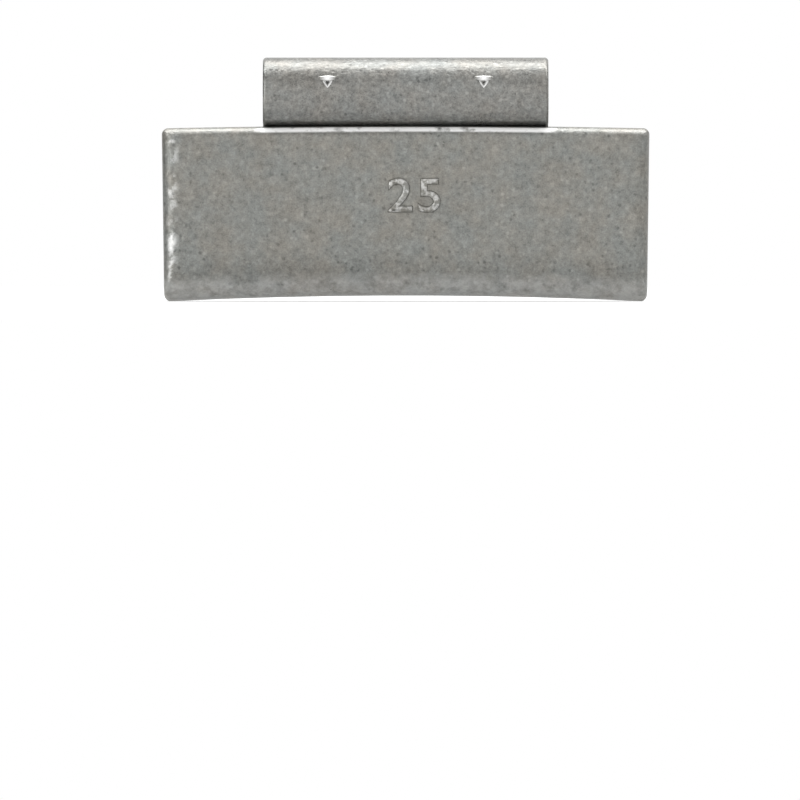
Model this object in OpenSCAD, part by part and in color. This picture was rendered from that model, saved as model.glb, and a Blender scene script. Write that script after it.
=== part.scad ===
// Clip-on wheel balance weight: an arched steel block and the spring steel clip that is staked to it.
// Millimetres, +Z up, outer face towards -Y. The weight stands on the two ends of its arched underside.

/* [Block] */
// Length of the block at its top
block_len = 34.7; // [26:0.5:60]
// Depth of the block, from its outer face to its back
block_depth = 7.2; // [6.6:0.1:8.4]
// Height of the block in its middle
block_height = 12.1; // [11:0.1:14]
// Radius of the arch along the top
top_arch_r = 800; // [350:10:1200]
// Radius of the arch along the underside
under_arch_r = 350; // [250:10:900]
// Lean of each end, inwards towards the underside, in degrees
end_lean = 0.8; // [0:0.1:2]

/* [Block edges] */
// Long edge at the top of the outer face
top_front_r = 1; // [0.8:0.1:1.8]
// Long edge at the top of the back
top_back_r = 2; // [1.5:0.1:2.4]
// Long edge under the back
under_back_r = 2; // [1.5:0.1:2.4]
// Long edge under the outer face
under_front_r = 1.8; // [1.2:0.1:2]
// Soft curve by which the outer face runs into its lower edge
face_curve_r = 8; // [6:0.5:10]
// How far that soft curve turns, in degrees
face_turn = 16; // [8:1:20]
// Rim round each end
rim_r = 0.5; // [0.3:0.05:0.8]
// Upright edges at the ends
upright_r = 1.1; // [0.6:0.1:1.4]

/* [Clip] */
// Thickness of the clip's strip
sheet = 1; // [0.8:0.05:1.2]
// Width of the clip along the block
clip_width = 20.3; // [18:0.1:24]
// Rounding along the strip's sheared edges
sheared_r = 0.28; // [0.1:0.02:0.36]
// Rounding of the corners at both ends of the strip
strip_corner_r = 1.2; // [0.8:0.1:2]
// How far the clip's bow stands out past the outer face
bow_proud = 0.4; // [0.2:0.05:1]
// Inside radius of the bend that turns up from the seat
lower_bend_r = 1; // [0.8:0.1:1.2]
// Straight rise between the lower bend and the bow
bow_rise = 0.1; // [0.05:0.05:1]
// Inside radius of the bow over the edge of the rim
bow_r = 1.8; // [1.5:0.1:2.2]
// How far the bow turns, in degrees
bow_turn = 100; // [92:1:108]
// Inside radius of the long arm
arm_r = 9.9; // [8:0.1:14]
// How far the arm turns, in degrees
arm_turn = 38; // [28:1:42]
// Inside radius of the bend over the back edge
leg_bend_r = 1; // [0.8:0.1:1.2]
// Depth of the leg's end below the block's top
leg_drop = 7; // [6.6:0.1:8.4]

/* [Seat of the clip] */
// Depth of the seat in the middle of the block's top
seat_depth = 0.43; // [0.35:0.01:0.6]
// Fall of the seat towards the back, in degrees
seat_slope = 10; // [6:1:13]
// How deep the leg's outer side lies below the back face
leg_sunk = 0.05; // [0:0.01:0.2]
// Clearance beside and below the leg
seat_gap = 0.1; // [0.05:0.01:0.2]
// Extra radius of the seat's back edge over the bend that lies on it
edge_relief = 0.2; // [0.1:0.05:0.4]

/* [Studs] */
// Diameter of the two studs of the block's own metal
stud_d = 2.4; // [1.8:0.1:2.8]
// Distance between the studs
stud_spacing = 12; // [8:0.5:14]
// Depth of the studs below the block's top
stud_drop = 4.4; // [4.2:0.1:4.6]
// Clearance of the leg's holes around the studs
stud_gap = 0.05; // [0.02:0.01:0.1]
// Diameter of the upset heads
head_d = 3.8; // [3.4:0.1:4.2]
// Thickness of the upset heads at their rim
head_rim = 0.12; // [0.05:0.01:0.2]
// Height of the dome on the upset heads
head_dome = 0.4; // [0.2:0.05:0.5]

/* [Dents] */
// Distance between the two punched dents in the bow
dent_spacing = 11.1; // [8:0.1:15]
// How far up the bow's curve the dents lie, in degrees
dent_angle = 17.5; // [14:0.5:30]
// Length of a dent, down the bow
dent_length = 0.72; // [0.6:0.02:1]
// Width of a dent, at its top
dent_width = 1; // [0.7:0.05:1.2]
// Depth of a dent's sloping rim, at its top
rim_depth = 0.14; // [0.08:0.01:0.18]
// Length of the pit inside that rim
pit_length = 0.5; // [0.3:0.02:0.55]
// Width of the pit, at its top
pit_width = 0.66; // [0.4:0.02:0.68]
// Depth of the pit, at its top
pit_depth = 0.38; // [0.25:0.01:0.45]
// Height of the lip that the punch throws up over a dent
lip_height = 0.08; // [0.05:0.01:0.12]
// Radius of that lip's round, up the bow
lip_r = 0.25; // [0.2:0.01:0.3]
// Radius of the curve in which the lip runs out to both sides
lip_sweep_r = 2.1; // [1.5:0.1:3]
// How far a dent's tooth stands out inside the bow
tooth_height = 0.35; // [0.2:0.05:0.5]

/* [Hidden] */
$fn = 96;
ARCH_FN = 1440;
over = 1;        // how far a cutter reaches past what it cuts
past = 0.2;      // how far a straight cutter runs on past a corner
run_in = 0.05;   // how far a flat of the strip runs into the bends at its ends
swell = 0.005;   // how much thicker those bends are on each side, so that the flats end inside them
pit_step = 0.03; // how far the pit's steep wall lies below that of the rim

// How far an arc of radius r stands proud of the line it rounds off, so that the two cross cleanly
function proud(r) = 0.003 / r;

// Height that an arch of radius r loses at x from its middle
function arch_drop(r, x) = r - sqrt(r * r - x * x);

half_len = block_len / 2;
half_depth = block_depth / 2;
block_bottom = arch_drop(under_arch_r, half_len - 1.2 * rim_r);
block_top = block_bottom + block_height;
end_top = block_top - arch_drop(top_arch_r, half_len - rim_r / 2);
end_bottom = block_bottom - arch_drop(under_arch_r, half_len - rim_r / 2);

// Side view, as [towards the front, up]: the seat's line, and the plane that the leg lies on
back_floor = leg_sunk + sheet - half_depth;
leg_end = block_top - leg_drop;
function seat_z(f) = block_top - seat_depth + f * tan(seat_slope);
function back_edge_centre(r) = [back_floor + r, seat_z(back_floor + r) - r / cos(seat_slope)];
up_from_seat = [-sin(seat_slope), cos(seat_slope)];
along_seat = [cos(seat_slope), sin(seat_slope)];

// Side view: centres of the clip's bends
leg_bend_at = back_edge_centre(leg_bend_r);
lower_bend_f = half_depth + bow_proud - sheet - lower_bend_r;
lower_bend_at = [lower_bend_f, seat_z(lower_bend_f) + (sheet + lower_bend_r) / cos(seat_slope)];
bow_at = lower_bend_at + [lower_bend_r - bow_r, bow_rise];
arm_at = bow_at + (bow_r - arm_r) * [cos(bow_turn), sin(bow_turn)];
seat_run = (lower_bend_at - leg_bend_at) * along_seat;

// The outline box's middle from front to back, which the origin lies under
bow_reach = half_depth + bow_proud;
arm_reach = -arm_at[0] - (arm_r + sheet) * cos(bow_turn + arm_turn);
middle_shift = (bow_reach - arm_reach) / 2;

// Puts a side view, drawn as [towards the front, up], into the model, with its third axis along -X
module side_view() {
    rotate([90, 0, -90]) children();
}

// Puts the whole weight over its origin
module centred() {
    translate([0, middle_shift, 0]) children();
}

// What rounds off a corner at the origin whose inside is towards +X and +Y
module corner_cut(r) {
    difference() {
        translate([-over, -over]) square(r + over);
        translate([1, 1] * (r - proud(r))) circle(r);
    }
}

// What rounds off the outer face's lower edge, from a corner at the origin as above: the soft curve
// first, then the tight one that runs on from it
module face_edge_cut() {
    soft_way = [cos(face_turn), sin(face_turn)];
    step = face_curve_r - under_front_r + proud(under_front_r) - proud(face_curve_r);
    tight_y = under_front_r - proud(under_front_r);
    soft_at = [face_curve_r - proud(face_curve_r), tight_y + step * sin(face_turn)];
    tight_at = soft_at - step * soft_way;
    reach = 2 * under_front_r;
    difference() {
        translate([-over, -over]) square([tight_at[0] + over, soft_at[1] + over]);
        translate(soft_at) circle(face_curve_r);
    }
    difference() {
        polygon([tight_at, tight_at - reach * soft_way, tight_at - [reach, reach], tight_at - [0, reach]]);
        translate(tight_at) circle(under_front_r);
    }
}

// The block's section with its two top edges, which runs on below the underside
module upper_section() {
    depth_below = block_height + over;
    difference() {
        translate([-half_depth, -depth_below]) square([block_depth, depth_below]);
        translate([half_depth, 0]) rotate(180) corner_cut(top_front_r);
        translate([-half_depth, 0]) mirror([0, 1]) corner_cut(top_back_r);
    }
}

// The block's section with its two lower edges, which runs on above the top
module lower_section() {
    difference() {
        translate([-half_depth, 0]) square([block_depth, block_height + over]);
        translate([half_depth, 0]) mirror([1, 0]) face_edge_cut();
        translate([-half_depth, 0]) corner_cut(under_back_r);
    }
}

// Sweeps a section along an arch of radius r whose crown lies at height z
module arched(r, z) {
    half_angle = asin((half_len + over) / r);
    translate([0, 0, z - r]) rotate([90, 0, 0]) rotate(90 - half_angle)
        rotate_extrude(angle = 2 * half_angle, $fn = ARCH_FN)
            translate([r, 0]) mirror([1, -1]) children();
}

// What rounds an edge of radius edge_r along an outline, given as [run, radius, turn]. The outline
// turns left round the metal, in the plane of the face that the edge borders, which looks to +Z.
// A curve that follows on a tighter one, with no run between, starts a little early.
module edge_cut(outline, edge_r, i = 0) {
    if (i < len(outline)) {
        run = outline[i][0];
        r = outline[i][1];
        turn = outline[i][2];
        early = run > 0 ? 0 : asin(past / r);
        if (run > 0) translate([-past, 0, 0]) rotate([90, 0, 90]) linear_extrude(run + 2 * past)
            mirror([0, 1]) corner_cut(edge_r);
        translate([run, r, 0]) {
            rotate(-90 - early) rotate_extrude(angle = turn + early) translate([r + proud(r), 0])
                rotate(180) corner_cut(edge_r);
            rotate(turn) translate([0, -r, 0]) edge_cut(outline, edge_r, i + 1);
        }
    }
}

// What forms the end at -X: the leaning face, its rim and its two upright edges
module end_cut() {
    end_height = end_top - end_bottom;
    reach = 2 * end_height;
    soft_rise = face_curve_r * sin(face_turn) + under_front_r * (1 - sin(face_turn));
    tight_x = face_curve_r - (face_curve_r - under_front_r) * cos(face_turn);
    outline = [
        [block_depth - under_back_r - tight_x, under_front_r, 90 - face_turn],
        [0, face_curve_r, face_turn],
        [end_height - soft_rise - top_front_r, top_front_r, 90],
        [block_depth - top_front_r - top_back_r, top_back_r, 90],
        [end_height - top_back_r - under_back_r, under_back_r, 90],
    ];
    translate([-half_len, 0, end_top]) rotate([0, -end_lean, 0]) side_view() {
        translate([-reach / 2, -reach, 0]) cube([reach, 1.5 * reach, 2 * over]);
        translate([under_back_r - half_depth, -end_height, 0]) edge_cut(outline, rim_r);
        for (front = [0, 1]) mirror([front, 0, 0])
            translate([-half_depth, -reach, 0]) rotate([-90, 0, 0])
                linear_extrude(1.5 * reach) corner_cut(upright_r);
    }
}

// Side view of the seat: the sloping top, the back edge and the flat for the leg
module seat_profile() {
    r = leg_bend_r + edge_relief;
    centre = back_edge_centre(r);
    front = block_depth;
    back = -block_depth;
    high = block_top + block_depth;
    low = leg_end - seat_gap;
    polygon([
        [front, seat_z(front)], [back_floor, seat_z(back_floor)], [back_floor, low],
        [back, low], [back, high], [front, high],
    ]);
    difference() {
        polygon([[back_floor, seat_z(back_floor)], centre + r * up_from_seat, centre, centre - [r, 0]]);
        translate(centre) circle(r);
    }
}

// The recess that the clip is seated in
module seat_cut() {
    width = clip_width + 2 * seat_gap;
    corner = strip_corner_r + seat_gap;
    low = leg_end - seat_gap;
    intersection() {
        side_view() translate([0, 0, -width]) linear_extrude(2 * width) seat_profile();
        rotate([90, 0, 0]) translate([0, 0, -block_depth]) linear_extrude(2 * block_depth)
            difference() {
                translate([-width / 2, low]) square([width, 2 * block_height]);
                for (side = [0, 1]) mirror([side, 0]) translate([-width / 2, low]) corner_cut(corner);
            }
    }
}

// One stud, along +Z from the block's metal, with its head upset on the leg
module stud() {
    stem = sheet + over;
    head_r = head_d / 2;
    dome_r = (head_r * head_r + head_dome * head_dome) / (2 * head_dome);
    translate([0, 0, -over]) rotate_extrude() {
        square([stud_d / 2, stem + head_rim]);
        translate([0, stem]) square([head_r, head_rim]);
        translate([0, stem + head_rim]) intersection() {
            translate([0, head_dome - dome_r]) circle(dome_r);
            square([head_r, head_dome]);
        }
    }
}

// Places something on both stud centres, on the leg's flat, with +Z towards the back
module at_studs() {
    for (side = [-1, 1])
        translate([side * stud_spacing / 2, -back_floor, block_top - stud_drop])
            rotate([-90, 0, 0]) children();
}

// Section of the clip's strip, as [thickness, width], grown on each side
module strip_section(grow = 0) {
    thick = sheet + 2 * grow;
    wide = clip_width + 2 * grow;
    translate([sheet / 2, 0]) difference() {
        square([thick, wide], center = true);
        for (x = [0, 1], y = [0, 1]) mirror([x, 0]) mirror([0, y])
            translate([-thick / 2, -wide / 2]) corner_cut(sheared_r + grow);
    }
}

// Strip that runs along +X on the plane Y = 0 and curls over to +Y, as [run, inside radius, turn].
// A wide bend that follows on a tight one, with no run between, starts inside it.
module strip(path, i = 0) {
    if (i < len(path)) {
        run = path[i][0];
        inside_r = path[i][1];
        turn = path[i][2];
        outside_r = inside_r + sheet;
        early = run > 0 ? 0 : asin(run_in / inside_r);
        if (run > 0) translate([-run_in, 0, 0]) rotate([90, 0, 90])
            linear_extrude(run + 2 * run_in) strip_section();
        translate([run, outside_r, 0]) {
            rotate(-90 - early) rotate_extrude(angle = turn + early) translate([inside_r, 0])
                strip_section(run > 0 ? swell : 0);
            rotate(turn) translate([0, -outside_r, 0]) strip(path, i + 1);
        }
    }
}

// The leg, and the bend that takes it over the block's back edge
module leg() {
    translate(leg_bend_at) {
        rotate(90 + seat_slope) rotate_extrude(angle = 90 - seat_slope)
            translate([leg_bend_r, 0]) strip_section(swell);
        translate([-leg_bend_r - sheet, run_in, 0]) rotate([90, 0, 0])
            linear_extrude(leg_bend_at[1] - leg_end + run_in) strip_section();
    }
}

// Rounds the two corners of a strip's end that lies at Y = 0, through the sheet along X
module strip_end_cut() {
    rotate([90, 0, 90]) linear_extrude(4 * sheet, center = true)
        for (side = [0, 1]) mirror([0, side])
            translate([0, clip_width / 2]) rotate(180) corner_cut(strip_corner_r);
}

// The corner of a cube, stood on the origin with its diagonal along +Z and one edge over +X
module cube_corner(edge) {
    rotate([45, -atan(1 / sqrt(2)), 0]) cube(edge);
}

// Places something on both dents, with +Z out of the bow and +X down along it
module at_dents() {
    for (side = [-1, 1])
        translate(concat(bow_at, side * dent_spacing / 2)) rotate(dent_angle)
            translate([bow_r + sheet, 0, 0]) rotate([-90, 0, 0]) rotate([0, 90, 0]) children();
}

// A mark of the punch: two sloping walls that meet in a keel, below a steep wall at the origin
module punch_mark(length, width, depth) {
    keel_slope = atan(depth / length);
    flare = width / 2 / (depth * cos(keel_slope));
    intersection() {
        translate([length, 0, 0]) rotate([0, -90 - keel_slope, 0])
            translate([0, 0, -over]) linear_extrude(over + 2 * length)
                polygon([[0, 0], [over, flare * over], [over, -flare * over]]);
        translate([0, -2 * over, -2 * over]) cube(4 * over);
    }
}

// What the punch takes out for one dent: the sloping rim, and the pit inside it
module dent() {
    translate([-dent_length / 2, 0, 0]) punch_mark(dent_length, dent_width, rim_depth);
    translate([pit_step - dent_length / 2, 0, 0]) punch_mark(pit_length, pit_width, pit_depth);
}

// The low round lip over a dent, which runs out to both sides
module lip() {
    translate([-dent_length / 2 - lip_r / 2, 0, lip_height - lip_sweep_r])
        rotate([0, 90, 0]) rotate_extrude() translate([lip_sweep_r - lip_r, 0]) circle(lip_r);
}

module weight_body() {
    color("#8d8c87") centred() {
        difference() {
            intersection() {
                arched(top_arch_r, block_top) upper_section();
                arched(under_arch_r, block_bottom) lower_section();
            }
            for (end = [0, 1]) mirror([end, 0, 0]) end_cut();
            seat_cut();
        }
        at_studs() stud();
    }
}

module spring_clip() {
    color("#93928d") centred() difference() {
        side_view() difference() {
            union() {
                leg();
                translate(leg_bend_at + leg_bend_r * up_from_seat) rotate(seat_slope)
                    strip([
                        [seat_run, lower_bend_r, 90 - seat_slope],
                        [bow_rise, bow_r, bow_turn],
                        [0, arm_r, arm_turn],
                    ]);
                at_dents() intersection() {
                    translate([0, 0, -sheet - tooth_height]) cube_corner(2 * sheet);
                    translate([-sheet, -sheet, -2 * sheet]) cube([2 * sheet, 2 * sheet, 1.4 * sheet]);
                }
                at_dents() intersection() {
                    lip();
                    translate([-sheet, -sheet, -sheet / 2]) cube(2 * sheet);
                }
            }
            at_dents() dent();
            translate(arm_at) rotate(bow_turn + arm_turn) translate([arm_r, 0, 0]) strip_end_cut();
            translate([back_floor, leg_end, 0]) rotate(180) strip_end_cut();
        }
        at_studs() cylinder(d = stud_d + 2 * stud_gap, h = 4 * sheet, center = true);
    }
}

weight_body();
spring_clip();
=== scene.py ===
import math

import bpy
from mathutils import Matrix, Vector


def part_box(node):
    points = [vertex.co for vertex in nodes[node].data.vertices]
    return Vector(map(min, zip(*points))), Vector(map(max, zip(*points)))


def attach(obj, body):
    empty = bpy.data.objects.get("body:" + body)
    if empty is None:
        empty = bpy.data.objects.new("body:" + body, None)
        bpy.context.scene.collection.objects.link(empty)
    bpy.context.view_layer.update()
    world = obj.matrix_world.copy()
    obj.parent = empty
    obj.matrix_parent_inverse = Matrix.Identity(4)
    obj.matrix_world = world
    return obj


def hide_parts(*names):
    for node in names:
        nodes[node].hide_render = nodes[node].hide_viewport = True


mm = 0.001

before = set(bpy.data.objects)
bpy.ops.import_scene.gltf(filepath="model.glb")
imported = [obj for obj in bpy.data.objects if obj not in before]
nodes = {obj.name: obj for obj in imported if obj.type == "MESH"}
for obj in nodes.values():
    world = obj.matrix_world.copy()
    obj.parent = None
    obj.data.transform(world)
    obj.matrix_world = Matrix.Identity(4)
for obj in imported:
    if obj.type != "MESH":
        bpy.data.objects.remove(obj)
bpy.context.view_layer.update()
blockLow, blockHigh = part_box("weight_body")
print("frame loaded:", sorted(nodes))


def deselectAll():
    if bpy.context.mode != "OBJECT":
        bpy.ops.object.mode_set(mode="OBJECT")
    bpy.ops.object.select_all(action="DESELECT")


def makeActive(piece):
    deselectAll()
    piece.select_set(True)
    bpy.context.view_layer.objects.active = piece


def dress(piece, material):
    piece.data.materials.clear()
    piece.data.materials.append(material)


camera = {
    "distance": 1.0,  # from the outer face, far enough for a product shot
    "frameWidth": 56.86 * mm,  # what the picture's width covers at the outer face
    "height": 8.6 * mm,  # level with the middle of the weight
    "aimAcross": -0.4 * mm,
    "aimUp": -7.0 * mm,  # below the floor, so that the weight stands in the picture's upper half
    "sensorWidth": 36,  # in the unit of the lens's length
    "drawn": (0.05, 20),  # nearest and furthest distance that shows
}


def addCamera():
    lens = bpy.data.cameras.new("productCamera")
    lens.sensor_width = camera["sensorWidth"]
    lens.lens = camera["sensorWidth"] * camera["distance"] / camera["frameWidth"]
    lens.clip_start, lens.clip_end = camera["drawn"]
    shot = bpy.data.objects.new("productCamera", lens)
    bpy.context.collection.objects.link(shot)
    shot.location = (camera["aimAcross"], blockLow.y - camera["distance"], camera["height"])
    aim = Vector((camera["aimAcross"], blockLow.y, camera["aimUp"]))
    shot.rotation_euler = (aim - shot.location).to_track_quat("-Z", "Y").to_euler()
    bpy.context.scene.camera = shot
    print("camera placed, lens", round(lens.lens))


addCamera()


# Small helpers for shader nodes. A value may be a number or another node's socket.
def addNode(tree, kind, place, **values):
    node = tree.nodes.new(kind)
    node.location = place
    for name, value in values.items():
        setattr(node, name, value)
    return node


def feed(tree, socket, value):
    if isinstance(value, bpy.types.NodeSocket):
        tree.links.new(value, socket)
    elif value is not None:
        socket.default_value = value


def newGroup(name, inputs, outputs):
    group = bpy.data.node_groups.new(name, "ShaderNodeTree")
    kinds = {"vector": "NodeSocketVector", "color": "NodeSocketColor", "float": "NodeSocketFloat"}
    for label, kind, value in inputs:
        socket = group.interface.new_socket(label, in_out="INPUT", socket_type=kinds[kind])
        socket.default_value = value
    for label, kind in outputs:
        group.interface.new_socket(label, in_out="OUTPUT", socket_type=kinds[kind])
    start = addNode(group, "NodeGroupInput", (-1200, 0))
    end = addNode(group, "NodeGroupOutput", (1200, 0))
    return group, start.outputs, end.inputs


def mathNode(tree, operation, place, first, second=None, clamp=False):
    node = addNode(tree, "ShaderNodeMath", place, operation=operation, use_clamp=clamp)
    feed(tree, node.inputs[0], first)
    feed(tree, node.inputs[1], second)
    return node.outputs[0]


def vectorNode(tree, operation, place, first, second=None):
    node = addNode(tree, "ShaderNodeVectorMath", place, operation=operation)
    feed(tree, node.inputs[0], first)
    feed(tree, node.inputs[1], second)
    return node.outputs["Value" if operation == "LENGTH" else "Vector"]


def noiseNode(tree, place, vector, scale, detail, roughness):
    node = addNode(tree, "ShaderNodeTexNoise", place)
    feed(tree, node.inputs["Vector"], vector)
    feed(tree, node.inputs["Scale"], scale)
    feed(tree, node.inputs["Detail"], detail)
    feed(tree, node.inputs["Roughness"], roughness)
    return node.outputs["Fac"]


def rangeNode(tree, place, value, fromLow, fromHigh, toLow, toHigh):
    node = addNode(tree, "ShaderNodeMapRange", place)
    for label, number in (
        ("Value", value),
        ("From Min", fromLow),
        ("From Max", fromHigh),
        ("To Min", toLow),
        ("To Max", toHigh),
    ):
        feed(tree, node.inputs[label], number)
    return node.outputs["Result"]


def mixNode(tree, place, share, first, second, blend="MIX"):
    node = addNode(tree, "ShaderNodeMix", place, data_type="RGBA", blend_type=blend)
    feed(tree, node.inputs["Factor"], share)
    feed(tree, node.inputs["A"], first)
    feed(tree, node.inputs["B"], second)
    return node.outputs["Result"]


# What all the coatings share
coatingForm = {
    "flakes": (1, 0.6),  # detail and roughness of each noise
    "mottles": (1.5, 0.6),
    "clouds": (3, 0.55),
    "tints": (3, 0.6),
    "peel": (2, 0.55),
    "tintScale": 420,
    "middle": 0.5,  # of a noise, and half way from the dark tone to the light one
    "most": (0.35, 0.65),  # where most of a noise lies
    "nearlyAll": (0.3, 0.7),  # and where nearly all of it does
    "grainEdge": (0.05, 0.42),  # where a grain's slope begins and ends, as shares of its cell
    "grainPick": (0.72, 0.78),  # about one cell in four holds a grain, one in four a dimple
    "crowding": (0.3, 1.7),  # contrast of the grains, from clear patches to crowded ones
    "roughSwing": (-0.05, 0.05),  # over the clouds
    "sparkleSwing": (-0.06, 0.06),  # over the flakes
    "grainHeight": 0.6,  # against the orange peel's height of 1
    "flakeHeight": 0.12,
    "mottleHeight": 0.8,
}


# Baked silver-grey coating: fine flakes, mottles and clouds in the film, an orange peel skin,
# and scattered grains and dimples, the grains painted lighter as glints and the dimples darker
# as painted shade. Where Wear is given, a brighter bare tone shows, for worn metal and for
# painted highlights.
def makeCoatingGroup():
    group, given, result = newGroup(
        "flakeCoating",
        [
            ("Place", "vector", (0, 0, 0)),
            ("Light Tone", "color", (0.3, 0.3, 0.28, 1)),
            ("Dark Tone", "color", (0.2, 0.2, 0.19, 1)),
            ("Warm Tint", "color", (1.05, 1, 0.95, 1)),
            ("Cool Tint", "color", (0.965, 1, 1.02, 1)),
            ("Flake Scale", "float", 9000),
            ("Flake Contrast", "float", 1),
            ("Mottle Scale", "float", 1500),
            ("Mottle Contrast", "float", 0.5),
            ("Cloud Scale", "float", 260),
            ("Cloud Contrast", "float", 0.4),
            ("Peel Scale", "float", 2800),
            ("Peel Contrast", "float", 0.4),
            ("Grain Scale", "float", 2300),
            ("Grain Contrast", "float", 0.5),
            ("Base Roughness", "float", 0.36),
            ("Coated Metal", "float", 0.75),
            # Wear blends to the bright bare tone and carries real wear and painted highlights alike
            ("Wear", "float", 0),
            ("Bare And Sheen Tone", "color", (0.95, 0.95, 0.94, 1)),
            ("Bare And Sheen Metal", "float", 0.2),
        ],
        [("Color", "color"), ("Roughness", "float"), ("Metallic", "float"), ("Height", "float")],
    )
    place = given["Place"]
    flakes = noiseNode(group, (-900, 500), place, given["Flake Scale"], *coatingForm["flakes"])
    mottles = noiseNode(group, (-900, 300), place, given["Mottle Scale"], *coatingForm["mottles"])
    clouds = noiseNode(group, (-900, 100), place, given["Cloud Scale"], *coatingForm["clouds"])
    tints = noiseNode(group, (-900, -100), place, coatingForm["tintScale"], *coatingForm["tints"])
    peel = noiseNode(group, (-900, -300), place, given["Peel Scale"], *coatingForm["peel"])

    cells = addNode(group, "ShaderNodeTexVoronoi", (-900, -500), feature="F1")
    feed(group, cells.inputs["Vector"], place)
    feed(group, cells.inputs["Scale"], given["Grain Scale"])
    pick = addNode(group, "ShaderNodeSeparateColor", (-700, -650))
    feed(group, pick.inputs["Color"], cells.outputs["Color"])
    edge, picked = coatingForm["grainEdge"], coatingForm["grainPick"]
    dome = rangeNode(group, (-700, -500), cells.outputs["Distance"], *edge, 1, 0)
    isGrain = rangeNode(group, (-500, -600), pick.outputs["Red"], *picked, 0, 1)
    isDimple = rangeNode(group, (-500, -800), pick.outputs["Green"], *picked, 0, 1)
    grains = mathNode(group, "MULTIPLY", (-300, -500), dome, isGrain)
    dimples = mathNode(group, "MULTIPLY", (-300, -700), dome, isDimple)

    tone = middle = coatingForm["middle"]
    layers = (
        (flakes, "Flake Contrast"),
        (mottles, "Mottle Contrast"),
        (clouds, "Cloud Contrast"),
        (peel, "Peel Contrast"),
    )
    for index, (noise, contrast) in enumerate(layers):
        swing = mathNode(group, "SUBTRACT", (-600, 600 - 160 * index), noise, middle)
        swing = mathNode(group, "MULTIPLY", (-450, 600 - 160 * index), swing, given[contrast])
        tone = mathNode(group, "ADD", (-300 + 150 * index, 500), swing, tone)
    # painted glints and shade: the raised grains are made lighter and the sunk dimples darker
    glintAndShadeSpecks = mathNode(group, "SUBTRACT", (-100, -400), grains, dimples)
    glintAndShadeSpecks = mathNode(group, "MULTIPLY", (50, -400), glintAndShadeSpecks, given["Grain Contrast"])
    most, nearlyAll = coatingForm["most"], coatingForm["nearlyAll"]
    crowding = rangeNode(group, (50, -250), clouds, *most, *coatingForm["crowding"])
    glintAndShadeSpecks = mathNode(group, "MULTIPLY", (200, -400), glintAndShadeSpecks, crowding)
    tone = mathNode(group, "ADD", (300, 500), tone, glintAndShadeSpecks, True)

    film = mixNode(group, (450, 400), tone, given["Dark Tone"], given["Light Tone"])
    tintShare = rangeNode(group, (-600, -100), tints, *most, 0, 1)
    tint = mixNode(group, (450, 150), tintShare, given["Warm Tint"], given["Cool Tint"])
    film = mixNode(group, (650, 300), 1.0, film, tint, "MULTIPLY")
    color = mixNode(group, (850, 300), given["Wear"], film, given["Bare And Sheen Tone"])
    feed(group, result["Color"], color)

    rough = rangeNode(group, (300, -50), clouds, *nearlyAll, *coatingForm["roughSwing"])
    rough = mathNode(group, "ADD", (450, -50), rough, given["Base Roughness"])
    sparkle = rangeNode(group, (450, -200), flakes, *nearlyAll, *coatingForm["sparkleSwing"])
    feed(group, result["Roughness"], mathNode(group, "ADD", (650, -50), rough, sparkle, True))
    metals = (given["Coated Metal"], given["Bare And Sheen Metal"])
    metal = rangeNode(group, (850, 0), given["Wear"], 0, 1, *metals)
    feed(group, result["Metallic"], metal)

    height = peel
    reliefs = (
        ("ADD", grains, coatingForm["grainHeight"]),
        ("SUBTRACT", dimples, coatingForm["grainHeight"]),
        ("ADD", flakes, coatingForm["flakeHeight"]),
        ("ADD", mottles, coatingForm["mottleHeight"]),
    )
    for index, (operation, noise, share) in enumerate(reliefs):
        relief = mathNode(group, "MULTIPLY", (50 + 150 * index, -660), noise, share)
        height = mathNode(group, operation, (200 + 150 * index, -500), height, relief)
    feed(group, result["Height"], height)
    return group


wearAndSheenNoise = (3, 0.6)  # detail and roughness of the noise that breaks the wear and painted highlights up


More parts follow.
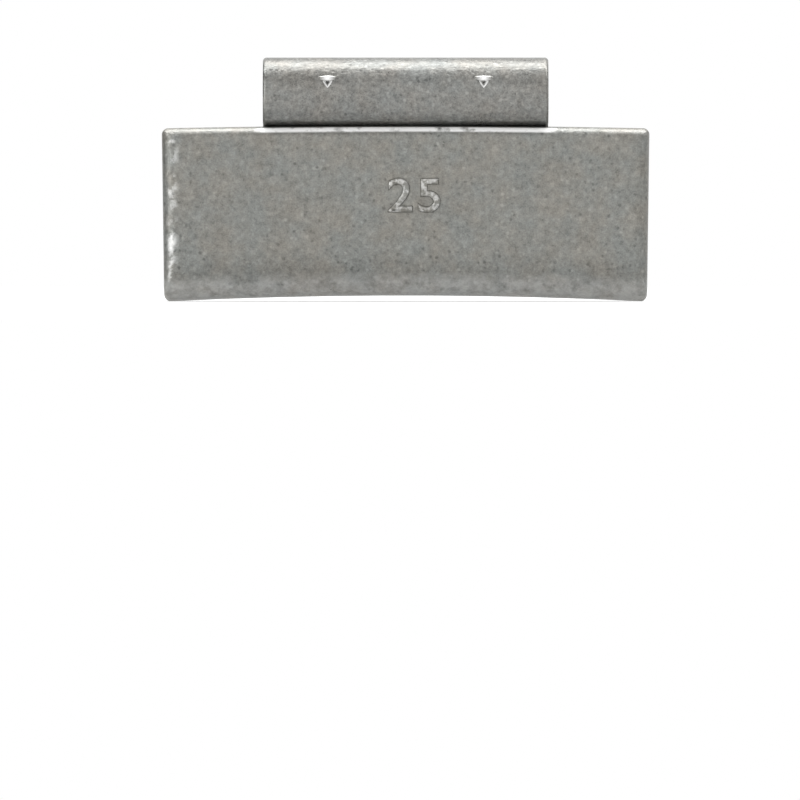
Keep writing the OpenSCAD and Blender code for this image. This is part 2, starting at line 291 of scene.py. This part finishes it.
# Wear and painted highlights along a line: Across keeps the two axes that the line doesn't run
# along, and Arch is half the curvature of a line that is arched along X. The mark is full within
# Core and ends at Reach. It fades over the last Run Out of Half Run to either side of the middle,
# and noise breaks it up.
def makeWearAndSheenGroup():
    group, given, result = newGroup(
        "edgeWearAndSheen",
        [
            ("Place", "vector", (0, 0, 0)),
            ("Line", "vector", (0, 0, 0)),
            ("Across", "vector", (0, 1, 1)),
            ("Arch", "float", 0),
            ("Core", "float", 0.1 * mm),
            ("Reach", "float", 0.3 * mm),
            ("Half Run", "float", 1.0),
            ("Run Out", "float", 0.9 * mm),
            ("Patch Scale", "float", 1200),
            ("Patch Low", "float", 0.3),
            ("Patch High", "float", 0.5),
            ("Strength", "float", 1),
        ],
        [("Wear", "float")],
    )
    place = given["Place"]
    parts = addNode(group, "ShaderNodeSeparateXYZ", (-1000, 200))
    feed(group, parts.inputs["Vector"], place)
    squared = mathNode(group, "MULTIPLY", (-800, 200), parts.outputs["X"], parts.outputs["X"])
    sag = addNode(group, "ShaderNodeCombineXYZ", (-500, 200))
    feed(group, sag.inputs["Z"], mathNode(group, "MULTIPLY", (-650, 200), squared, given["Arch"]))
    flat = vectorNode(group, "ADD", (-350, 200), place, sag.outputs["Vector"])
    away = vectorNode(group, "SUBTRACT", (-200, 200), flat, given["Line"])
    away = vectorNode(group, "MULTIPLY", (-50, 200), away, given["Across"])
    away = vectorNode(group, "LENGTH", (100, 200), away)
    near = rangeNode(group, (250, 200), away, given["Reach"], given["Core"], 0, 1)
    along = mathNode(group, "ABSOLUTE", (-800, 400), parts.outputs["X"])
    fullRun = mathNode(group, "SUBTRACT", (-650, 550), given["Half Run"], given["Run Out"])
    inRun = rangeNode(group, (-450, 450), along, given["Half Run"], fullRun, 0, 1)
    near = mathNode(group, "MULTIPLY", (400, 350), near, inRun)
    patches = noiseNode(group, (-200, -100), place, given["Patch Scale"], *wearAndSheenNoise)
    patches = rangeNode(group, (50, -100), patches, given["Patch Low"], given["Patch High"], 0, 1)
    wear = mathNode(group, "MULTIPLY", (450, 100), near, patches)
    feed(group, result["Wear"], mathNode(group, "MULTIPLY", (650, 100), wear, given["Strength"]))
    return group


flakeCoating = makeCoatingGroup()
edgeWearAndSheen = makeWearAndSheenGroup()


def makeCoating(name, look, addWearAndSheen):
    material = bpy.data.materials.new(name)
    material.use_nodes = True
    tree = material.node_tree
    shader = tree.nodes["Principled BSDF"]
    shader.inputs["Specular IOR Level"].default_value = look["specular"]
    coordinates = addNode(tree, "ShaderNodeTexCoord", (-1500, 0))
    coat = addNode(tree, "ShaderNodeGroup", (-600, 0), node_tree=flakeCoating)
    feed(tree, coat.inputs["Place"], coordinates.outputs["Object"])
    for label, value in look["coat"].items():
        coat.inputs[label].default_value = value
    feed(tree, coat.inputs["Wear"], addWearAndSheen(tree, coordinates.outputs["Object"], look))
    bump = addNode(tree, "ShaderNodeBump", (-250, -250))
    bump.inputs["Strength"].default_value = look["bumpStrength"]
    bump.inputs["Distance"].default_value = look["bumpHeight"]
    feed(tree, bump.inputs["Height"], coat.outputs["Height"])
    feed(tree, shader.inputs["Base Color"], coat.outputs["Color"])
    feed(tree, shader.inputs["Roughness"], coat.outputs["Roughness"])
    feed(tree, shader.inputs["Metallic"], coat.outputs["Metallic"])
    feed(tree, shader.inputs["Normal"], bump.outputs["Normal"])
    return material


# The block's long edges, each an arc swept along an arch of the block
block = {
    "topArch": 800 * mm,
    "underArch": 350 * mm,
    "underCrown": 0.401 * mm,  # height of the underside in the middle
    "frontEdge": 1.0 * mm,
    "backEdge": 2.0 * mm,
    "depth": 7.2 * mm,  # from its front to its flat back, without the studs' heads
    "frontCuts": 7,  # how finely each facet of an edge is cut before it is rounded
    "backCuts": 3,
    "onEdge": 0.006 * mm,  # how near to an edge's round its points lie
    "mergeUnder": 0.001 * mm,  # joins the corners of the loaded facets
    "smoothUnder": math.radians(38),
}

blockLook = {
    "specular": 0.5,
    "bumpStrength": 0.7,
    "bumpHeight": 0.03 * mm,
    "coat": {
        "Light Tone": (0.268, 0.268, 0.25, 1),
        "Dark Tone": (0.114, 0.114, 0.106, 1),
        "Warm Tint": (1.04, 1, 0.96, 1),
        "Cool Tint": (0.97, 1, 1.015, 1),
        "Flake Scale": 9000,
        "Flake Contrast": 0.9,
        "Mottle Scale": 2000,
        "Mottle Contrast": 0.65,
        "Cloud Scale": 260,
        "Cloud Contrast": 0.3,
        "Peel Scale": 3800,
        "Peel Contrast": 0.95,
        "Grain Scale": 2600,
        "Grain Contrast": 0.42,
        "Base Roughness": 0.38,
    },
    # lines of wear, and of painted highlights and a painted reflection, along the block's edges
    "wear": [
        {  # the long front edge: a faint painted highlight in worn patches
            "Line": (0, blockLow.y + 0.32 * mm, blockHigh.z - 0.29 * mm),
            "Across": (0, 1, 1),
            "Arch": 0.5 / block["topArch"],
            "Core": 0.1 * mm,
            "Reach": 0.28 * mm,
            "Half Run": 1.0,  # past both ends
            "Patch Scale": 1100,
            "Patch Low": 0.3,
            "Patch High": 0.6,
            "Strength": 0.1,
        },
        {  # the same edge below the clip: a painted highlight where the clip holds the light off
            "Line": (0, blockLow.y + 0.36 * mm, blockHigh.z - 0.23 * mm),
            "Across": (0, 1, 1),
            "Arch": 0.5 / block["topArch"],
            "Core": 0.17 * mm,
            "Reach": 0.33 * mm,
            "Half Run": 10.9 * mm,
            "Patch Scale": 1100,
            "Patch Low": 0.22,
            "Patch High": 0.48,
            "Strength": 1.0,
        },
        {  # the upright edge on the left: a painted highlight in patches, on the side the light comes from
            "Line": (blockLow.x + 0.7 * mm, blockLow.y + 0.1 * mm, 0),
            "Across": (1, 1, 0),
            "Arch": 0.0,
            "Core": 0.1 * mm,
            "Reach": 0.6 * mm,
            "Half Run": 1.0,
            "Patch Scale": 1300,
            "Patch Low": 0.48,
            "Patch High": 0.72,
            "Strength": 0.6,
        },
        {  # the lower front edge, faintly lighter: a painted reflection of the floor
            "Line": (0, blockLow.y + 0.55 * mm, 0.9 * mm),
            "Across": (0, 1, 1),
            "Arch": 0.5 / block["underArch"],
            "Core": 0.5 * mm,
            "Reach": 1.3 * mm,
            "Half Run": 1.0,
            "Patch Scale": 1100,
            "Patch Low": 0.25,
            "Patch High": 0.6,
            "Strength": 0.19,
        },
    ],
}


# The strongest of a look's lines of wear and painted highlight counts at each place
def wearAndHighlightsAlongLines(tree, place, look):
    wear = None
    for index, line in enumerate(look["wear"]):
        node = addNode(tree, "ShaderNodeGroup", (-1200, -250 * index), node_tree=edgeWearAndSheen)
        feed(tree, node.inputs["Place"], place)
        for label, value in line.items():
            node.inputs[label].default_value = value
        worn = node.outputs["Wear"]
        wear = worn if wear is None else mathNode(tree, "MAXIMUM", (-850, -200 * index), wear, worn)
    return wear


blockCoating = makeCoating("blockCoating", blockLook, wearAndHighlightsAlongLines)
print("block's coating made")


# Rounds one long edge of the block. The loaded mesh follows it in long facets, so they are cut
# finer and set on the true round. side is -1 for the front and 1 for the back, level is 1 for the
# top and -1 for the underside.
def roundLongEdge(piece, side, level, radius, cuts):
    crown = blockHigh.z if level > 0 else block["underCrown"]
    arch = block["topArch"] if level > 0 else block["underArch"]
    wall = blockLow.y if side < 0 else blockLow.y + block["depth"]
    slack = block["onEdge"]

    def centreOver(x):
        return wall - side * radius, crown - x * x / (2 * arch) - level * radius

    def onRound(v):
        y, z = centreOver(v.co.x)
        outY, outZ = v.co.y - y, v.co.z - z
        onArc = abs(math.hypot(outY, outZ) - radius) < slack
        return onArc and side * outY > -slack and level * outZ > -slack

    found = [onRound(v) for v in piece.data.vertices]
    makeActive(piece)
    bpy.ops.object.mode_set(mode="EDIT")
    bpy.ops.mesh.select_mode(type="FACE")
    bpy.ops.mesh.select_all(action="DESELECT")
    bpy.ops.object.mode_set(mode="OBJECT")
    for polygon in piece.data.polygons:
        polygon.select = all(found[i] for i in polygon.vertices)
    facets = sum(polygon.select for polygon in piece.data.polygons)
    bpy.ops.object.mode_set(mode="EDIT")
    bpy.ops.mesh.subdivide(number_cuts=cuts)
    bpy.ops.object.mode_set(mode="OBJECT")
    for v in piece.data.vertices:
        if v.select:
            y, z = centreOver(v.co.x)
            reach = radius / math.hypot(v.co.y - y, v.co.z - z)
            v.co.y, v.co.z = y + (v.co.y - y) * reach, z + (v.co.z - z) * reach
    print("long edge rounded,", facets, "facets cut finer")


def addBlock():
    # a copy of the loaded block, which is its shape with coarser rounds
    piece = bpy.data.objects.new("formed_block", nodes["weight_body"].data.copy())
    bpy.context.collection.objects.link(piece)
    makeActive(piece)
    bpy.ops.mesh.customdata_custom_splitnormals_clear()
    bpy.ops.object.mode_set(mode="EDIT")
    bpy.ops.mesh.select_all(action="SELECT")
    bpy.ops.mesh.remove_doubles(threshold=block["mergeUnder"])
    bpy.ops.object.mode_set(mode="OBJECT")
    roundLongEdge(piece, -1, 1, block["frontEdge"], block["frontCuts"])
    roundLongEdge(piece, 1, 1, block["backEdge"], block["backCuts"])
    roundLongEdge(piece, 1, -1, block["backEdge"], block["backCuts"])
    makeActive(piece)
    bpy.ops.object.shade_smooth_by_angle(angle=block["smoothUnder"])
    weighted = piece.modifiers.new("flatFaces", "WEIGHTED_NORMAL")
    weighted.keep_sharp = True
    bpy.ops.object.modifier_apply(modifier=weighted.name)
    dress(piece, blockCoating)
    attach(piece, "root")
    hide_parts("weight_body")
    print("block formed,", len(piece.data.polygons), "faces")


addBlock()

# The clip's bow and the highlights painted on its dents. A dent's depth is measured in from the
# bow's round, and its width to either side of its middle.
clip = {
    "bowAxis": (0, -1.947 * mm, 14.555 * mm),
    "bowRadius": 2.8 * mm,
    "dentSpacing": 11.1 * mm,
    "dentsFrom": 0.3 * mm,  # over the bow's axis
    "dentsFront": 2 * mm,  # in front of the bow's axis
    "dentHalf": 0.7 * mm,  # no dent reaches past this
    "lipHighlight": 0.75,  # how bright the lip over a dent is painted, as a highlight
    "lipDepth": (-0.01 * mm, -0.04 * mm),
    "lipFade": (0.55 * mm, 0.05 * mm),
    "rimHighlight": 0.66,  # how bright the dent's rim and side walls are painted, as highlights
    "rimDepth": (0.01 * mm, 0.03 * mm),
    "rimEnd": (0.16 * mm, 0.1 * mm),
    "wallFade": (0.06 * mm, 0.16 * mm),
    "pitHighlight": 0.4,  # share of that in the middle of the pit
}

clipLook = {
    "specular": 0.5,
    "bumpStrength": 0.7,
    "bumpHeight": 0.03 * mm,
    "coat": {
        "Light Tone": (0.265, 0.265, 0.252, 1),
        "Dark Tone": (0.105, 0.105, 0.1, 1),
        "Warm Tint": (1.035, 1, 0.965, 1),
        "Cool Tint": (0.975, 1, 1.01, 1),
        "Flake Scale": 8500,
        "Flake Contrast": 1.0,
        "Mottle Scale": 1900,
        "Mottle Contrast": 0.8,
        "Cloud Scale": 300,
        "Cloud Contrast": 0.35,
        "Peel Scale": 3500,
        "Peel Contrast": 1.1,
        "Grain Scale": 2500,
        "Grain Contrast": 0.55,
        "Base Roughness": 0.36,
    },
}


# Painted highlights: the lip over each dent, which stands proud of the bow's round, and the rim
# and the side walls inside it get the bright bare tone, less of it in the middle of the pit.
def paintedDentHighlights(tree, place, look):
    parts = addNode(tree, "ShaderNodeSeparateXYZ", (-1500, 300))
    feed(tree, parts.inputs["Vector"], place)
    across = mathNode(tree, "ABSOLUTE", (-1350, 400), parts.outputs["X"])
    across = mathNode(tree, "SUBTRACT", (-1200, 400), across, clip["dentSpacing"] / 2)
    across = mathNode(tree, "ABSOLUTE", (-1050, 400), across)
    lowest = clip["bowAxis"][2] + clip["dentsFrom"]
    rearmost = clip["bowAxis"][1] - clip["dentsFront"]
    aboveBend = mathNode(tree, "GREATER_THAN", (-1350, 250), parts.outputs["Z"], lowest)
    inFront = mathNode(tree, "LESS_THAN", (-1350, 550), parts.outputs["Y"], rearmost)
    onBow = mathNode(tree, "MULTIPLY", (-1200, 600), aboveBend, inFront)
    away = vectorNode(tree, "SUBTRACT", (-1500, 100), place, clip["bowAxis"])
    away = vectorNode(tree, "MULTIPLY", (-1350, 100), away, (0, 1, 1))
    away = vectorNode(tree, "LENGTH", (-1200, 100), away)
    depth = mathNode(tree, "SUBTRACT", (-1050, 100), clip["bowRadius"], away)

    # painted highlight on the lip, then on the rim and side walls
    proud = rangeNode(tree, (-850, 500), depth, *clip["lipDepth"], 0, clip["lipHighlight"])
    overDent = rangeNode(tree, (-850, 700), across, *clip["lipFade"], 0, 1)
    onLip = mathNode(tree, "MULTIPLY", (-650, 500), proud, overDent)
    sunk = rangeNode(tree, (-850, 200), depth, *clip["rimDepth"], 0, clip["rimHighlight"])
    inWidth = mathNode(tree, "LESS_THAN", (-850, 0), across, clip["dentHalf"])
    sunk = mathNode(tree, "MULTIPLY", (-650, 200), sunk, inWidth)
    onRim = rangeNode(tree, (-850, -150), depth, *clip["rimEnd"], 0, 1)
    onWall = rangeNode(tree, (-850, -400), across, *clip["wallFade"], clip["pitHighlight"], 1)
    onEither = mathNode(tree, "MAXIMUM", (-650, -250), onRim, onWall)
    inDent = mathNode(tree, "MULTIPLY", (-450, 200), sunk, onEither)
    wear = mathNode(tree, "MAXIMUM", (-250, 300), onLip, inDent)
    return mathNode(tree, "MULTIPLY", (-50, 300), wear, onBow)


# The loaded clip's shape is right as it is, so it only gets its coating
# the clip's coating, with painted highlights on its dents
clipCoating = makeCoating("clipCoating", clipLook, paintedDentHighlights)
for slot in nodes["spring_clip"].material_slots:
    slot.material = clipCoating
print("clip coated")

number = {
    "text": "25",  # nominal grams
    "height": 2.5 * mm,  # of a digit
    "stretch": 1.12,  # of its width
    "spacing": 1.12,
    "thicken": -0.035,  # change of each stroke's half width, as a share of the type size
    "rounding": 0.06,  # of the relief's edges, as a share of the type size
    "straight": 0.02,  # upright part of the relief's side, as a share of the type size
    "relief": 0.22 * mm,
    "centreX": 0.6 * mm,
    "centreZ": 7.55 * mm,
    "outlineSteps": 10,
    "roundingSteps": 4,
    "mergeUnder": 0.0001 * mm,
    "smoothUnder": math.radians(50),
    "rubbed": 0.35,  # how far the wear bares its top, which also paints glints on it
    "rubbedFrom": 0.3,  # share of the relief where that begins
    "patchScale": 2600,
    "patchNoise": (2, 0.6),  # its detail and roughness
    "patchRange": (0.45, 0.62),
}


# The raised number is rubbed where it stands furthest out, and its bare patches there are also
# painted glints
def wearAndGlintsOnRelief(tree, place, look):
    parts = addNode(tree, "ShaderNodeSeparateXYZ", (-1300, 300))
    feed(tree, parts.inputs["Vector"], place)
    proud = mathNode(tree, "SUBTRACT", (-1150, 300), blockLow.y, parts.outputs["Y"])
    lowest = number["rubbedFrom"] * number["relief"]
    proud = rangeNode(tree, (-1000, 300), proud, lowest, number["relief"], 0, number["rubbed"])
    patches = noiseNode(tree, (-1150, 100), place, number["patchScale"], *number["patchNoise"])
    patches = rangeNode(tree, (-1000, 100), patches, *number["patchRange"], 0, 1)
    return mathNode(tree, "MULTIPLY", (-850, 200), proud, patches)


numberCoating = makeCoating("numberCoating", blockLook, wearAndGlintsOnRelief)


def addNumber():
    deselectAll()
    bpy.ops.object.text_add(location=(0, 0, 0))
    digits = bpy.context.object
    digits.name = "raised_number"
    shape = digits.data
    shape.body = number["text"]
    shape.align_x, shape.align_y = "CENTER", "CENTER"
    shape.space_character = number["spacing"]
    shape.offset = number["thicken"]
    shape.resolution_u = number["outlineSteps"]
    shape.extrude = number["straight"]
    shape.bevel_depth = number["rounding"]
    shape.bevel_resolution = number["roundingSteps"]
    makeActive(digits)
    bpy.ops.object.convert(target="MESH")
    digits = bpy.context.object
    low = Vector([min(v.co[i] for v in digits.data.vertices) for i in range(3)])
    high = Vector([max(v.co[i] for v in digits.data.vertices) for i in range(3)])
    size = number["height"] / (high.y - low.y)
    middle = (low + high) / 2
    for v in digits.data.vertices:
        v.co = (
            number["centreX"] + (v.co.x - middle.x) * size * number["stretch"],
            blockLow.y - number["relief"] + (high.z - v.co.z) * size,
            number["centreZ"] + (v.co.y - middle.y) * size,
        )
    bpy.ops.object.mode_set(mode="EDIT")
    bpy.ops.mesh.select_all(action="SELECT")
    bpy.ops.mesh.remove_doubles(threshold=number["mergeUnder"])
    bpy.ops.mesh.normals_make_consistent(inside=False)
    bpy.ops.object.mode_set(mode="OBJECT")
    bpy.ops.object.shade_smooth_by_angle(angle=number["smoothUnder"])
    dress(digits, numberCoating)
    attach(digits, "root")
    print("number raised")


addNumber()

studio = {
    "floorSize": 6.0,
    "floorTone": (0.9, 0.9, 0.9, 1),
    "nearReach": 45 * mm,  # round the weight, where the floor keeps its shadow
    "farReach": 140 * mm,  # from here on it is plain white
    "nearGlow": 0.5,
    "mirrorGlow": (1.0, 0.55),  # shares of white that the metal sees in the floor, near and far
    "mirrorReach": (8 * mm, 14 * mm),  # where the far share takes over, out in front
    "floorRoughness": 0.9,
    "ambient": 0.7,  # world light on rough surfaces
}


# Whether a ray comes from the camera itself, and whether it comes off a mirror or through glass
def seenDirectly(tree, place):
    path = addNode(tree, "ShaderNodeLightPath", place)
    mirror = mathNode(
        tree,
        "MAXIMUM",
        (place[0] + 200, place[1] - 150),
        path.outputs["Is Glossy Ray"],
        path.outputs["Is Transmission Ray"],
    )
    return path.outputs["Is Camera Ray"], mirror


def addFloor():
    deselectAll()
    bpy.ops.mesh.primitive_plane_add(size=studio["floorSize"], location=(0, 0, 0))
    floor = bpy.context.object
    floor.name = "studioFloor"
    material = bpy.data.materials.new("paleFloor")
    material.use_nodes = True
    tree = material.node_tree
    shader = tree.nodes["Principled BSDF"]
    shader.inputs["Base Color"].default_value = studio["floorTone"]
    shader.inputs["Roughness"].default_value = studio["floorRoughness"]
    shader.inputs["Specular IOR Level"].default_value = 0
    glow = addNode(tree, "ShaderNodeEmission", (0, -300))
    glow.inputs["Strength"].default_value = 1
    mix = addNode(tree, "ShaderNodeMixShader", (300, 0))
    coordinates = addNode(tree, "ShaderNodeTexCoord", (-900, 600))
    reach = vectorNode(tree, "LENGTH", (-700, 600), coordinates.outputs["Object"])
    fade = (studio["nearReach"], studio["farReach"])
    away = rangeNode(tree, (-500, 600), reach, *fade, studio["nearGlow"], 1)
    byCamera, byMirror = seenDirectly(tree, (-900, 300))
    cameraShare = mathNode(tree, "MULTIPLY", (-100, 450), away, byCamera)
    parts = addNode(tree, "ShaderNodeSeparateXYZ", (-900, 50))
    feed(tree, parts.inputs["Vector"], coordinates.outputs["Object"])
    outFront = mathNode(tree, "MULTIPLY", (-700, 50), parts.outputs["Y"], -1)
    mirrored = rangeNode(tree, (-500, 150), outFront, *studio["mirrorReach"], *studio["mirrorGlow"])
    mirrorShare = mathNode(tree, "MULTIPLY", (-100, 250), byMirror, mirrored)
    feed(tree, mix.inputs["Fac"], mathNode(tree, "ADD", (100, 350), cameraShare, mirrorShare, True))
    feed(tree, mix.inputs[1], shader.outputs["BSDF"])
    feed(tree, mix.inputs[2], glow.outputs["Emission"])
    feed(tree, tree.nodes["Material Output"].inputs["Surface"], mix.outputs["Shader"])
    dress(floor, material)


flag = {
    "at": (-0.32, 0.22, 0.16),  # its middle, to the left and behind
    "size": (0.005, 0.44, 0.3),
    "tone": (0.02, 0.02, 0.02, 1),
}


# A dark card that only the metal sees. The block's left edge mirrors it as its dark outline.
def addFlag():
    deselectAll()
    bpy.ops.mesh.primitive_cube_add(size=1, location=flag["at"])
    card = bpy.context.object
    card.name = "darkFlag"
    card.scale = flag["size"]
    bpy.ops.object.transform_apply(location=False, rotation=False, scale=True)
    card.visible_camera = card.visible_diffuse = card.visible_shadow = False
    material = bpy.data.materials.new("flagCloth")
    material.use_nodes = True
    shader = material.node_tree.nodes["Principled BSDF"]
    shader.inputs["Base Color"].default_value = flag["tone"]
    shader.inputs["Roughness"].default_value = 1
    shader.inputs["Specular IOR Level"].default_value = 0
    dress(card, material)


def setWorld():
    world = bpy.data.worlds.new("studioWorld")
    bpy.context.scene.world = world
    world.use_nodes = True
    tree = world.node_tree
    background = tree.nodes["Background"]
    background.inputs["Color"].default_value = (1, 1, 1, 1)
    byCamera, byMirror = seenDirectly(tree, (-900, 0))
    direct = mathNode(tree, "MAXIMUM", (-400, 0), byCamera, byMirror)
    strength = rangeNode(tree, (-200, 0), direct, 0, 1, studio["ambient"], 1)
    feed(tree, background.inputs["Strength"], strength)


lampAim = Vector((0, 0, 10 * mm))  # near the middle of the weight
lamps = [
    {"name": "overheadSoftbox", "at": (0.0, 0.15, 0.5), "size": (1.1, 0.3), "watts": 5.6},
    {"name": "leftSoftbox", "at": (-0.6, -0.35, 0.22), "size": (0.3, 0.4), "watts": 1.6},
    {"name": "frontFill", "at": (0.0, -1.1, 0.42), "size": (1.4, 0.9), "watts": 1.9},
]


def addLamps():
    for lamp in lamps:
        light = bpy.data.lights.new(lamp["name"], "AREA")
        light.shape = "RECTANGLE"
        light.size, light.size_y = lamp["size"]
        light.energy = lamp["watts"]
        holder = bpy.data.objects.new(lamp["name"], light)
        bpy.context.collection.objects.link(holder)
        holder.location = lamp["at"]
        aim = lampAim - Vector(lamp["at"])
        holder.rotation_euler = aim.to_track_quat("-Z", "Y").to_euler()


addFloor()
addFlag()
setWorld()
addLamps()
bpy.context.scene.view_settings.view_transform = "Standard"
print("studio lit")
